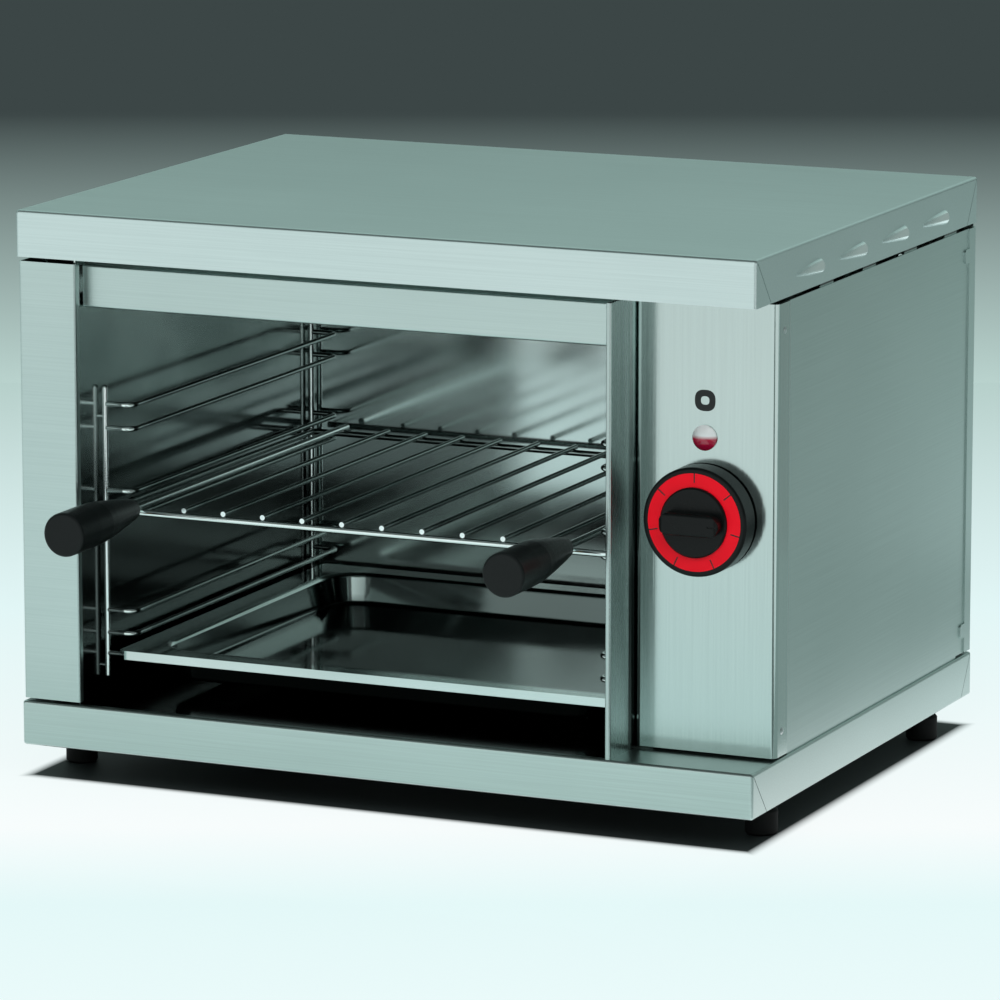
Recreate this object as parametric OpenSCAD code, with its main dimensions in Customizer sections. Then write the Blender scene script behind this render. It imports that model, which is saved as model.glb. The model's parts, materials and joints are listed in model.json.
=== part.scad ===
// Countertop cheese melter: a folded stainless casing round an open grilling cavity,
// radiant elements under the ceiling, a wire rack with two handles, a drip tray
// and a control compartment with a dial knob on the right.

/* [Casing] */
// Width over the top cover and the base pan
body_w = 540; // [500:1:600]
// Depth over the top cover and the base pan
body_d = 414; // [408:1:440]
// Height from the base pan's lower edge to the top
casing_h = 371; // [360:1:400]
// Thickness of the sheet steel
sheet = 1; // [0.8:0.1:1.2]
// Outer radius of the folds
fold_r = 2; // [1.6:0.1:2.5]
// Height of the top cover's flanges
cover_flange = 32; // [28:1:40]
// Height of the base pan's flanges
base_flange = 31; // [28:1:40]
// Width of the left front post
post_w = 44; // [42:1:45]
// Shadow gap between the panels and the base pan
seam_gap = 2; // [1:0.5:3]
// Run of the slanted front corner seam
seam_run = 24; // [16:1:28]

/* [Louvres] */
// Louvres on each side of the top cover
louvre_count = 4; // [1:1:4]
// Length of a louvre
louvre_l = 42; // [30:1:60]
// Distance from one louvre to the next
louvre_pitch = 78.5; // [66:0.5:84]
// Distance of the first louvre from the front
louvre_first = 70; // [50:1:90]
// Half height of a louvre at its mouth
louvre_r = 5.5; // [5:0.5:7]

/* [Control compartment] */
// Distance from the left edge to the cavity side of the divider's front edge
divider_x = 434; // [433:1:440]
// Thickness of the divider's folded front edge
blade_w = 4; // [3:0.5:5]
// Setback of the control panel behind the front edge
panel_setback = 40; // [36:1:46]
// Length of the panel's return on the side
return_l = 20; // [18:1:30]
// Distance of the knob and the lamp from the left edge
knob_x = 488.5; // [484:0.5:494]
// Height of the knob's axis above the base pan's lower edge
knob_z = 191; // [170:1:210]
// Height of the pilot lamp above the base pan's lower edge
lamp_z = 244.5; // [236:0.5:270]
// Diameter of the pilot lamp's lens
lamp_d = 17; // [14:1:20]

/* [Knob] */
// Diameter of the knob
knob_d = 73; // [64:1:76]
// Distance of the dial face from the panel
knob_h = 18; // [16:1:24]
// Number of heat steps on the dial
dial_steps = 7; // [5:1:9]
// Length of the grip bar
grip_l = 42; // [34:1:44]
// Width of the grip bar
grip_w = 15; // [12:1:18]
// Height of the grip bar above the dial face
grip_h = 12; // [9:1:16]

/* [Cavity] */
// Distance of the cavity's back wall from the front edge
back_wall_y = 370; // [368:1:374]
// Height of the header's lower edge above the base pan's lower edge
header_z = 305; // [296:1:312]
// Setback of the header behind the front edge
header_setback = 14; // [10:1:18]
// Diameter of the heating tube
tube_d = 7; // [6.5:0.5:8]
// Distance between the two legs of a heating element
element_gap = 50; // [40:1:54]

/* [Rack supports] */
// Diameter of the uprights
upright_d = 4; // [3.5:0.5:4.5]
// Diameter of the runner wires
runner_d = 3.6; // [3:0.2:4]
// Distance of an upright's axis from the cavity wall
upright_off = 3.5; // [3.3:0.1:4]
// Distance of a runner's long stretch from the cavity wall
runner_off = 24.2; // [23:0.1:27]

/* [Rack] */
// Width of the rack's frame between wire axes
rack_w = 378; // [370:1:380]
// Depth of the rack's frame between wire axes
rack_l = 324; // [318:1:330]
// Diameter of the frame wire
frame_d = 4.5; // [4:0.5:5]
// Diameter of the cross wires
wire_d = 3.6; // [3:0.2:4]
// Number of cross wires
wire_count = 10; // [6:1:10]
// Distance between cross wires
wire_pitch = 29.7; // [26:0.1:30]
// Diameter of the handle rods
rod_d = 5; // [4.5:0.5:6]
// Distance of the left handle from the casing's left edge
handle_x = 76.5; // [74:0.5:86]
// Distance between the two handles
handle_gap = 321; // [310:1:326]
// Length of a handle
handle_l = 99; // [90:1:120]
// Diameter of a handle at its front end
handle_d = 30; // [26:1:32]
// Diameter of a handle at its rear end
handle_rear_d = 14.5; // [12:0.5:18]
// How far the handles stand out in front of the casing
handle_reach = 81; // [70:1:95]

/* [Drip tray] */
// Width over the tray's rim
tray_w = 370; // [366:1:376]
// Depth over the tray's rim
tray_l = 326; // [320:1:327]
// Depth of the tray
tray_depth = 22; // [16:1:24]
// Width of the rim
rim_w = 20; // [19:0.5:24]
// Corner radius inside the tray
bowl_r = 28; // [20:1:36]
// Corner radius of the rim
rim_r = 5; // [3:1:12]
// Height of the turned-down front edge
tray_lip = 6; // [4:0.5:7]

/* [Feet] */
// Height of the feet
foot_h = 22; // [18:1:30]
// Diameter of a foot
foot_d = 22; // [18:1:24]
// Distance of a foot's axis from the side of the base pan
foot_in_x = 16; // [14:1:20]
// Distance of a foot's axis from the front and the back of the base pan
foot_in_y = 56; // [40:1:70]

/* [Hidden] */
$fn = 48;

eps = 0.02;
front_steel = "#b7cdca";
side_steel = "#788a89";
polished_steel = "#8e9a99";
wire_steel = "#c9d2d0";
black = "#1b2022";
dial_red = "#e1122d";
brass = "#b9974b";
ceramic = "#e8e4da";

// The gland is the rearmost piece and the handles are the foremost ones.
gland_reach = 22;
front_y = (handle_reach - body_d - gland_reach) / 2;

// Planes of the casing, measured from its left, front and lower edges.
skin_in = 1.1;
skin_z0 = base_flange + seam_gap;
deck_z = casing_h - sheet;
lip_z = casing_h - cover_flange;
top_gap = 3;
skin_z1 = lip_z - top_gap;
inner_z1 = deck_z - 1;
left_skin = skin_in + sheet / 2;
right_skin = body_w - skin_in - sheet / 2;
lap_off = sheet;
back_y = body_d - 1.5;
front_line = 1.2 + sheet / 2;
wall_x = post_w - 2;
right_wall_x = divider_x + blade_w;
cavity_mid = (wall_x + right_wall_x) / 2;
reflector_z = header_z + 32.5;
element_z = header_z + 15;
element_ys = [62, 157, 252];
panel_y = panel_setback;

// Runner levels, from the lowest, above the base pan's lower edge.
runner_zs = [60.5, 75.2, 91, 158.4, 174.8, 218, 234.6];
upright_z0 = 45;
upright_z1 = 245.5;
upright_front_y = 40;
upright_rear_y = 363.5;
fit_gap = 0.3;

// The rack lies on the fourth runner and the tray on the first.
rack_z = runner_zs[3] + runner_d / 2 + fit_gap + frame_d / 2;
rack_y0 = 31;
wire_z = rack_z + frame_d / 2 + wire_d / 2;
rod_z = rack_z + frame_d / 2 + rod_d / 2;
first_wire_x = 110;
tray_z = runner_zs[0] + runner_d / 2 + fit_gap + sheet;
tray_y0 = 36.5;

thread_d = 4;
head_d = 8;
head_h = 2.2;

// Everything in the casing is drawn from its left front lower corner.
module casing() {
  translate([-body_w / 2, front_y, foot_h]) children();
}

module mirrored_sides(mid) {
  children();
  translate([2 * mid, 0, 0]) mirror([1, 0, 0]) children();
}

// Straight wires along one axis.
module rod_x(x0, x1, y, z, d) {
  translate([x0, y, z]) rotate([0, 90, 0]) cylinder(h = x1 - x0, d = d);
}

module rod_y(x, y0, y1, z, d) {
  translate([x, y0, z]) rotate([-90, 0, 0]) cylinder(h = y1 - y0, d = d);
}

module rod_z(x, y, z0, z1, d) {
  translate([x, y, z0]) cylinder(h = z1 - z0, d = d);
}

// Bent wire: an arc round a vertical axis, from angle a0 over a1 degrees.
module wire_bend(x, y, z, r, d, a0, a1) {
  translate([x, y, z]) rotate([0, 0, a0]) rotate_extrude(angle = a1) translate([r, 0]) circle(d = d);
}

// Rectangle with round corners.
module rounded_rect(w, l, r) {
  translate([r, 0]) square([w - 2 * r, l]);
  translate([0, r]) square([w, l - 2 * r]);
  for (x = [r, w - r], y = [r, l - r]) translate([x, y]) circle(r = r);
}

// Block with round edges all over.
module soft_block(w, l, h, r) {
  translate([r, r, 0]) cube([w - 2 * r, l - 2 * r, h]);
  translate([r, 0, r]) cube([w - 2 * r, l, h - 2 * r]);
  translate([0, r, r]) cube([w, l - 2 * r, h - 2 * r]);
  for (y = [r, l - r], z = [r, h - r]) rod_x(r, w - r, y, z, 2 * r);
  for (x = [r, w - r], z = [r, h - r]) rod_y(x, r, l - r, z, 2 * r);
  for (x = [r, w - r], y = [r, l - r]) rod_z(x, y, r, h - r, 2 * r);
  for (x = [r, w - r], y = [r, l - r], z = [r, h - r]) translate([x, y, z]) sphere(r = r);
}

// Folded pan: a deck, four flanges that hang down from it and lips that turn inwards.
module lipped_pan(h, side_lip, end_lip) {
  difference() {
    soft_block(body_w, body_d, h, fold_r);
    translate([sheet, sheet, sheet])
      soft_block(body_w - 2 * sheet, body_d - 2 * sheet, h - 2 * sheet, fold_r - sheet);
    translate([sheet + side_lip, sheet + end_lip, -1])
      cube([body_w - 2 * (sheet + side_lip), body_d - 2 * (sheet + end_lip), sheet + 2]);
  }
}

// Folded pan whose four flanges end in plain cut edges.
module open_pan(h) {
  difference() {
    translate([0, 0, -fold_r]) soft_block(body_w, body_d, h + fold_r, fold_r);
    translate([sheet, sheet, -fold_r])
      soft_block(body_w - 2 * sheet, body_d - 2 * sheet, h + fold_r - sheet, fold_r - sheet);
    translate([-1, -1, -fold_r - 1]) cube([body_w + 2, body_d + 2, fold_r + 1]);
  }
}

// Open seams where the front and rear flanges' corner tabs meet the side flanges.
module corner_seams(h, front_run, rear_run) {
  for (x = [-1, body_w - sheet - 0.5]) {
    seam_slit(x, 0, h, front_run);
    translate([0, body_d, 0]) mirror([0, 1, 0]) seam_slit(x, 0, h, rear_run);
  }
}

module seam_slit(x, y, h, run) {
  drop = h - fold_r;
  translate([x, y + fold_r, drop])
    rotate([-atan2(drop, run), 0, 0])
    cube([sheet + 1.5, norm([drop, run]) + 2, 0.5]);
}

// Profile of folded sheet along the centre line pts, with fold radius r at each inner point.
function unit(v) = v / norm(v);
function turn_of(a, b) = atan2(a.x * b.y - a.y * b.x, a * b);
function fold_trim(pts, r, i) =
  i == 0 || i == len(pts) - 1 ? 0
  : r * tan(abs(turn_of(pts[i] - pts[i - 1], pts[i + 1] - pts[i])) / 2);

module fold_profile(pts, r, t = sheet) {
  for (i = [0:len(pts) - 2]) {
    run = pts[i + 1] - pts[i];
    a = fold_trim(pts, r, i);
    b = fold_trim(pts, r, i + 1);
    translate(pts[i]) rotate(atan2(run.y, run.x)) translate([a - eps * sign(a), -t / 2])
      square([norm(run) - a - b + eps * (sign(a) + sign(b)), t]);
  }
  for (i = [1:len(pts) - 2]) fold_corner(pts[i - 1], pts[i], pts[i + 1], r, t);
}

module fold_corner(p, q, s, r, t) {
  u = unit(q - p);
  v = unit(s - q);
  side = turn_of(u, v) > 0 ? 1 : -1;
  trim = r * tan(abs(turn_of(u, v)) / 2);
  normal_in = side * [-u.y, u.x];
  normal_out = side * [-v.y, v.x];
  centre = q - u * trim + normal_in * r;
  reach = 3 * (r + t);
  intersection() {
    translate(centre) difference() {
      circle(r = r + t / 2);
      circle(r = r - t / 2);
    }
    translate(centre)
      polygon([[0, 0], -normal_in * reach, -(normal_in + normal_out) * reach, -normal_out * reach]);
  }
}

// Folded sheet whose profile is drawn in plan and stands upright.
module upright_sheet(pts, r, z0, z1) {
  translate([0, 0, z0]) linear_extrude(z1 - z0) fold_profile(pts, r);
}

// Pan-head screw whose head rests on the plane z = 0 and whose thread points down.
module pan_screw(l, d = thread_d) {
  rotate_extrude() screw_outline(l, d, d * 2, d * 0.55);
}

module screw_outline(l, d, hd, hh) {
  translate([0, -l]) square([d / 2, l + eps]);
  intersection() {
    square([hd / 2, hh]);
    translate([0, hh - hd * 0.72]) circle(r = hd * 0.72);
  }
}

// Hexagon nut with a bore.
module hex_nut(w, h, d) {
  difference() {
    cylinder(h = h, r = w / sqrt(3), $fn = 6);
    translate([0, 0, -1]) cylinder(h = h + 2, d = d, $fn = 32);
  }
}

// ---------------------------------------------------------------- casing shells

lip_w = 28;
end_lip_w = 12;
foot_xs = [foot_in_x, body_w - foot_in_x];
foot_ys = [foot_in_y, body_d - foot_in_y];
foot_bolt_d = 6;

module base_pan() {
  color(front_steel) casing() difference() {
    lipped_pan(base_flange, lip_w, end_lip_w);
    corner_seams(base_flange, seam_run, seam_run * 0.75);
    for (x = foot_xs, y = foot_ys) rod_z(x, y, -1, sheet + 1, foot_bolt_d + 0.4);
    for (i = [0:6]) air_slot(knob_x, 120 + 32 * i, base_flange);
  }
}

// Slot in the deck that lets cool air into the control compartment.
module air_slot(x, y, z) {
  translate([x, y, z - sheet - 1]) linear_extrude(sheet + 2) {
    square([52, 4], center = true);
    for (s = [-26, 26]) translate([s, 0]) circle(d = 4);
  }
}

louvre_sink = 1.8;
louvre_tip_r = 2.2;
louvre_z = casing_h - 19.5;

// Pressed louvre on the plane x = 0: a half cone that opens to the rear.
module louvre_skin() {
  intersection() {
    translate([-louvre_sink, 0, 0]) rotate([-90, 0, 0])
      cylinder(h = louvre_l, r1 = louvre_tip_r, r2 = louvre_r);
    translate([-sheet, -1, -louvre_r - 1]) cube([2 * louvre_r, louvre_l + 2, 2 * louvre_r + 2]);
  }
}

module louvre_hollow() {
  translate([-louvre_sink, sheet, 0]) rotate([-90, 0, 0])
    cylinder(h = louvre_l + 0.5, r1 = louvre_tip_r - sheet, r2 = louvre_r - sheet);
}

module at_louvres() {
  for (i = [0:louvre_count - 1]) {
    y = louvre_first + louvre_pitch * i;
    translate([body_w, y, louvre_z]) children();
    translate([0, y, louvre_z]) mirror([1, 0, 0]) children();
  }
}

cover_screw_xs = [40, body_w / 2, body_w - 40];

module top_cover() {
  color(front_steel) casing() difference() {
    union() {
      translate([0, 0, lip_z]) open_pan(cover_flange);
      at_louvres() louvre_skin();
    }
    at_louvres() louvre_hollow();
    translate([0, 0, lip_z]) corner_seams(cover_flange, seam_run, seam_run * 0.75);
    for (x = cover_screw_xs) rod_y(x, body_d - sheet - 1, body_d + 1, cover_screw_z, thread_d + 0.3);
  }
}

side_foot_w = 16;
tongue_w = 24;
tongue_y0 = louvre_first + (louvre_l - louvre_pitch - tongue_w) / 2;

// Inner edges of a side panel: a rail stands on the base pan, and tongues between the louvres,
// counted from the front, reach up to the cover's deck.
module panel_rails(y0, y1, tongues) {
  x = skin_in + sheet;
  translate([x - eps, y0, base_flange]) cube([sheet, y1 - y0, seam_gap + 12]);
  translate([x, y0, base_flange]) cube([side_foot_w, y1 - y0, sheet]);
  for (i = tongues) translate([x, tongue_y0 + louvre_pitch * i, 0]) {
    translate([-eps, 0, skin_z1 - 12]) cube([sheet, tongue_w, deck_z - skin_z1 + 12]);
    translate([0, 0, deck_z - sheet]) cube([12, tongue_w, sheet]);
  }
}

rear_flange_w = 16;
side_rear_y = back_y - sheet;

module left_side_panel() {
  color(front_steel) casing() difference() {
    union() {
      upright_sheet([
        [left_skin + rear_flange_w, side_rear_y], [left_skin, side_rear_y], [left_skin, front_line],
        [post_w - sheet / 2, front_line], [post_w - sheet / 2, 6.5]
      ], 1.5, skin_z0, skin_z1);
      panel_rails(14, side_rear_y - 24, [0:louvre_count]);
    }
    side_screw_holes(left_skin + rear_flange_w / 2);
  }
}

module right_side_panel() {
  color(side_steel) casing() difference() {
    union() {
      upright_sheet([
        [right_skin - rear_flange_w, side_rear_y], [right_skin, side_rear_y],
        [right_skin, panel_y + sheet + 6]
      ], 1.5, skin_z0, skin_z1);
      translate([body_w, 0, 0]) mirror([1, 0, 0]) panel_rails(panel_y + 26, side_rear_y - 24, [1:louvre_count]);
    }
    side_screw_holes(right_skin - rear_flange_w / 2);
    for (z = return_screw_zs) rod_x(right_skin - 2, right_skin + 2, return_screw_y, z, 3.2);
  }
}

module side_screw_holes(x) {
  for (z = back_screw_zs) rod_y(x, side_rear_y - 2, side_rear_y + 2, z, thread_d + 0.1);
}

// The back panel laps round both rear corners, with a wider tab at each screw height.
lap_l = 13;
tab_l = 8;
tab_h = 10;
tab_zs = [44, 312];
lap_end_x = skin_in + sheet + 0.1;
back_screw_zs = [58, 200, 328];
back_screw_xs = [left_skin + rear_flange_w / 2, right_skin - rear_flange_w / 2];
gland_x = knob_x - 8;
gland_z = base_flange + 34;
gland_hole_d = 20;
stud_x = gland_x + 34;
stud_d = 6;
stud_root_d = 5.6;

module back_panel() {
  lap_x = skin_in - lap_off / 2;
  color(side_steel) casing() difference() {
    union() {
      upright_sheet([
        [lap_x, back_y - lap_l], [lap_x, back_y], [body_w - lap_x, back_y],
        [body_w - lap_x, back_y - lap_l]
      ], 1.5, skin_z0, inner_z1 - 8);
      for (x = [lap_x - sheet / 2, body_w - lap_x - sheet / 2], z = tab_zs)
        translate([x, back_y - lap_l - tab_l, z]) lap_tab();
    }
    for (x = [-1, body_w - lap_end_x]) translate([x, back_y - 3 * lap_l, skin_z1])
      cube([lap_end_x + 1, 4 * lap_l, casing_h]);
    for (x = back_screw_xs, z = back_screw_zs) rod_y(x, back_y - 2, back_y + 2, z, thread_d + 0.3);
    for (x = cover_screw_xs) rod_y(x, back_y - 2, back_y + 2, cover_screw_z, thread_d + 0.1);
    rod_y(gland_x, back_y - 2, back_y + 2, gland_z, gland_hole_d);
    rod_y(stud_x, back_y - 2, back_y + 2, gland_z, stud_root_d + 0.2);
    for (row = [0:2], i = [0:11]) rear_vent(88 + 27 * i, 262 + 22 * row);
    for (row = [0:2], i = [0:2]) rear_vent(460 + 24 * i, 262 + 22 * row);
  }
}

module lap_tab() {
  rotate([90, 0, 90]) linear_extrude(sheet) rounded_rect(tab_l + 4, tab_h, 2.5);
}

// Vent slot with round ends in the back panel.
module rear_vent(x, z) {
  translate([x, back_y + 2, z]) rotate([90, 0, 0]) linear_extrude(4) {
    square([4, 10], center = true);
    for (s = [-5, 5]) translate([0, s]) circle(d = 4);
  }
}

header_face_z1 = lip_z - 5;
ledge = 8;

// Header: its face ends in a ledge behind the cover's flange, and a web goes on up to the deck.
module front_header() {
  x0 = wall_x + 1.5;
  x1 = divider_x - 0.2;
  y = header_setback + sheet / 2;
  color(front_steel) casing() translate([x1, 0, 0]) rotate([90, 0, -90]) linear_extrude(x1 - x0)
    mirror([1, 0]) fold_profile([
      [y + ledge + 12, deck_z - sheet / 2], [y + ledge, deck_z - sheet / 2],
      [y + ledge, header_face_z1], [y, header_face_z1],
      [y, header_z + sheet / 2], [y + 14, header_z + sheet / 2], [y + 14, header_z + 8]
    ], 1.5);
}

panel_left = right_wall_x + sheet + 0.7;
return_x = right_skin + sheet;
return_screw_y = panel_y + 11;
return_screw_zs = [50, 318];
shaft_d = 6;
regulator_screw_gap = 28;

module control_panel() {
  y = panel_y + sheet / 2;
  color(front_steel) casing() difference() {
    union() {
      upright_sheet([
        [panel_left, y + 14], [panel_left, y], [return_x, y], [return_x, y + return_l]
      ], 3.5, skin_z0, skin_z1);
      for (z = [skin_z0, skin_z1 - sheet])
        translate([panel_left + 3, y, z]) cube([return_x - panel_left - 8, 14, sheet]);
    }
    rod_y(knob_x, panel_y - 1, panel_y + 2, knob_z, 10);
    rod_y(knob_x, panel_y - 1, panel_y + 2, lamp_z, 12.2);
    for (s = [-1, 1]) rod_y(knob_x, panel_y - 1, panel_y + 2, knob_z + s * regulator_screw_gap / 2, 4.3);
    for (z = return_screw_zs) rod_x(return_x - 2, return_x + 2, return_screw_y, z, 3.4);
  }
}

blade_rear = upright_front_y - 3;

// Folded blade that stands in front of the cavity's right wall and beside the control panel.
module divider_blade() {
  color(side_steel) casing() upright_sheet([
    [divider_x + sheet / 2, blade_rear - 3], [divider_x + sheet / 2, front_line],
    [right_wall_x - sheet / 2, front_line], [right_wall_x - sheet / 2, blade_rear]
  ], 1, base_flange, skin_z1);
}

pin_zs = [upright_z0 + 7, runner_zs[5] + 8];
pin_ys = [upright_front_y, upright_rear_y];
pin_d = 3;
cavity_z1 = lip_z - 0.5;

// Cavity side wall on the plane x = 0 with its flanges towards -x; yf is its front edge.
module cavity_side_wall(yf) {
  difference() {
    union() {
      upright_sheet([[-14, back_wall_y + 12], [-sheet / 2, back_wall_y + 12], [-sheet / 2, yf]], 1.5,
        base_flange, cavity_z1);
      translate([-14, yf + 8, base_flange]) cube([14 - eps, back_wall_y - yf, sheet]);
    }
    for (y = pin_ys, z = pin_zs) rod_x(-3, 3, y, z, pin_d);
  }
}

module cavity_left_wall() {
  color(polished_steel) casing() translate([wall_x, 0, 0]) cavity_side_wall(6);
}

module cavity_right_wall() {
  color(polished_steel) casing() difference() {
    translate([right_wall_x, 0, 0]) mirror([1, 0, 0]) cavity_side_wall(blade_rear - 3);
    for (y = element_ys, s = [0, 1])
      rod_x(right_wall_x - 2, right_wall_x + 4, y + s * element_gap, element_z, tube_d + 0.1);
  }
}

module cavity_back_wall() {
  x0 = wall_x + sheet / 2;
  x1 = right_wall_x - sheet / 2;
  y = back_wall_y + sheet / 2;
  color(polished_steel) casing() upright_sheet([[x0, y + 11], [x0, y], [x1, y], [x1, y + 11]], 1.5,
    base_flange, reflector_z - 12);
}

// ---------------------------------------------------------------- heating

module heat_reflector() {
  x0 = wall_x + sheet / 2;
  x1 = right_wall_x - sheet / 2;
  y0 = header_setback + 24;
  color(polished_steel) casing() translate([0, back_wall_y - 1, 0]) rotate([90, 0, 0])
    linear_extrude(back_wall_y - 1 - y0)
    fold_profile([[x0, reflector_z - 9], [x0, reflector_z], [x1, reflector_z], [x1, reflector_z - 9]], 1.5);
}

module insulation_blanket() {
  z0 = reflector_z + sheet / 2;
  color(ceramic) casing() translate([wall_x + 3, header_setback + 26, z0])
    soft_block(right_wall_x - wall_x - 6, back_wall_y - header_setback - 28, inner_z1 - 3 - z0, 6);
}

element_bend_x = wall_x + 22 + element_gap / 2;
element_end_x = right_wall_x + 16;

// Hairpin heating tube with both legs through the right wall.
module heating_element(y) {
  color("#5a5550") casing() {
    for (s = [0, 1]) rod_x(element_bend_x, element_end_x, y + s * element_gap, element_z, tube_d);
    wire_bend(element_bend_x, y + element_gap / 2, element_z, element_gap / 2, tube_d, 90, 180);
  }
}

module front_element() {
  heating_element(element_ys[0]);
}

module middle_element() {
  heating_element(element_ys[1]);
}

module rear_element() {
  heating_element(element_ys[2]);
}

hanger_xs = [wall_x + 110, wall_x + 285];

// Combs that hang from the reflector and carry the heating tubes.
module element_hangers() {
  y0 = element_ys[0] - 12;
  y1 = element_ys[2] + element_gap + 12;
  color(polished_steel) casing() for (x = hanger_xs) difference() {
    translate([x + sheet / 2, y1, 0]) rotate([90, 0, 0]) linear_extrude(y1 - y0)
      fold_profile([[0, element_z - 8], [0, reflector_z - sheet], [12, reflector_z - sheet]], 1.5);
    for (y = element_ys, s = [0, 1]) rod_x(x - 2, x + 4, y + s * element_gap, element_z, tube_d + 0.1);
  }
}

module at_element_ends() {
  for (y = element_ys, s = [0, 1]) translate([right_wall_x, y + s * element_gap, element_z]) children();
}

// Nuts on the compartment side and collars on the cavity side of the right wall.
module element_flange_nuts() {
  color(brass) casing() at_element_ends() {
    translate([sheet, 0, 0]) rotate([0, 90, 0]) hex_nut(13, 5, tube_d + 0.1);
    translate([-3, 0, 0]) rotate([0, 90, 0]) difference() {
      cylinder(h = 3, d = 13);
      translate([0, 0, -1]) cylinder(h = 5, d = tube_d + 0.1);
    }
  }
}

// Ceramic bead and threaded pin at the end of each leg.
module element_terminals() {
  color(ceramic) casing() at_element_ends() translate([element_end_x - right_wall_x, 0, 0])
    rotate([0, 90, 0]) rotate_extrude()
    polygon([[0, 0], [4.5, 0], [4.5, 5], [3, 7], [2, 7], [2, 16], [0, 16]]);
}

// ---------------------------------------------------------------- rack supports

left_upright_x = wall_x + upright_off;
left_run_x = wall_x + runner_off;
runner_bend = 7;

module side_uprights() {
  for (y = [upright_front_y, upright_rear_y]) {
    rod_z(left_upright_x, y, upright_z0, upright_z1, upright_d);
    for (z = [upright_z0, upright_z1]) translate([left_upright_x, y, z]) sphere(d = upright_d);
  }
}

// One runner: a long stretch with a leg back to each upright, coped to fit round it.
module side_runner(z) {
  difference() {
    union() {
      for (y = [upright_front_y, upright_rear_y])
        rod_x(left_upright_x, left_run_x - runner_bend, y, z, runner_d);
      rod_y(left_run_x, upright_front_y + runner_bend, upright_rear_y - runner_bend, z, runner_d);
      wire_bend(left_run_x - runner_bend, upright_front_y + runner_bend, z, runner_bend, runner_d, -90, 90);
      wire_bend(left_run_x - runner_bend, upright_rear_y - runner_bend, z, runner_bend, runner_d, 0, 90);
    }
    for (y = [upright_front_y, upright_rear_y])
      rod_z(left_upright_x, y, z - runner_d, z + runner_d, upright_d);
  }
}

module side_runners() {
  for (z = runner_zs) side_runner(z);
}

// Pins that stand the uprights off the cavity wall and are welded in its holes.
module side_pins() {
  difference() {
    for (y = pin_ys, z = pin_zs) rod_x(wall_x - sheet, left_upright_x, y, z, pin_d);
    for (y = pin_ys) rod_z(left_upright_x, y, upright_z0, upright_z1, upright_d);
  }
}

module right_hand() {
  translate([2 * cavity_mid, 0, 0]) mirror([1, 0, 0]) children();
}

module left_uprights() {
  color(wire_steel) casing() side_uprights();
}

module left_runners() {
  color(wire_steel) casing() side_runners();
}

module left_pins() {
  color(wire_steel) casing() side_pins();
}

module right_uprights() {
  color(wire_steel) casing() right_hand() side_uprights();
}

module right_runners() {
  color(wire_steel) casing() right_hand() side_runners();
}

module right_pins() {
  color(wire_steel) casing() right_hand() side_pins();
}

// ---------------------------------------------------------------- rack

frame_x0 = cavity_mid - rack_w / 2;
frame_x1 = cavity_mid + rack_w / 2;
rack_y1 = rack_y0 + rack_l;
frame_bend = 12;
handle_xs = [handle_x, handle_x + handle_gap];
wire_xs = [for (i = [0:wire_count - 1]) first_wire_x + wire_pitch * i];
wire_end_y = rack_y1 + frame_d / 2;

// Thick wire bent round the front and both sides; its ends are coped to the rear bar.
module rack_frame() {
  color(wire_steel) casing() difference() {
    union() {
      rod_x(frame_x0 + frame_bend, frame_x1 - frame_bend, rack_y0, rack_z, frame_d);
      for (x = [frame_x0, frame_x1]) rod_y(x, rack_y0 + frame_bend, rack_y1, rack_z, frame_d);
      wire_bend(frame_x0 + frame_bend, rack_y0 + frame_bend, rack_z, frame_bend, frame_d, 180, 90);
      wire_bend(frame_x1 - frame_bend, rack_y0 + frame_bend, rack_z, frame_bend, frame_d, 270, 90);
    }
    rear_bar();
  }
}

module rear_bar() {
  rod_x(frame_x0 - frame_d / 2, frame_x1 + frame_d / 2, rack_y1, rack_z, frame_d);
}

module rack_rear_bar() {
  color(wire_steel) casing() rear_bar();
}

// Cross wires lie on the frame and on the rear bar.
module rack_wires() {
  color(wire_steel) casing() for (x = wire_xs) rod_y(x, rack_y0 - 0.5, wire_end_y, wire_z, wire_d);
}

// Rods that carry the handles, welded on the frame like the cross wires.
rod_y0 = -handle_reach + 30;

module rack_handle_rods() {
  color(wire_steel) casing() for (x = handle_xs) rod_y(x, rod_y0, wire_end_y, rod_z, rod_d);
}

handle_edge_r = 2;
insert_d = 9;
insert_l = 22;
handle_grip_l = handle_l * 0.46;

function arc_points(cx, cy, r, a0, a1, n = 6) =
  [for (i = [0:n]) let (a = a0 + (a1 - a0) * i / n) [cx + r * cos(a), cy + r * sin(a)]];

// Handle: a round grip that tapers towards the rack, with a blind bore from the rear.
module handle_outline() {
  rf = handle_d / 2;
  rr = handle_rear_d / 2;
  polygon(concat(
    [[0, 0]],
    arc_points(rf - handle_edge_r, handle_edge_r, handle_edge_r, -90, 0),
    [[rf, handle_grip_l * 0.6], [rf - 0.5, handle_grip_l]],
    [for (i = [1:6]) let (s = i / 6) [rf - 0.5 - (rf - 0.5 - rr) * pow(s, 1.15),
      handle_grip_l + (handle_l - handle_grip_l) * s - (i == 6 ? 1 : 0)]],
    [[rr - 1, handle_l], [0, handle_l]]
  ));
}

module rack_handle(x) {
  color(black) casing() translate([x, -handle_reach, rod_z]) rotate([-90, 0, 0]) difference() {
    rotate_extrude() handle_outline();
    translate([0, 0, 30]) cylinder(h = handle_l, d = rod_d);
    translate([0, 0, handle_l - insert_l]) cylinder(h = insert_l + 1, d = insert_d);
  }
}

module left_handle() {
  rack_handle(handle_xs[0]);
}

module right_handle() {
  rack_handle(handle_xs[1]);
}

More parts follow.
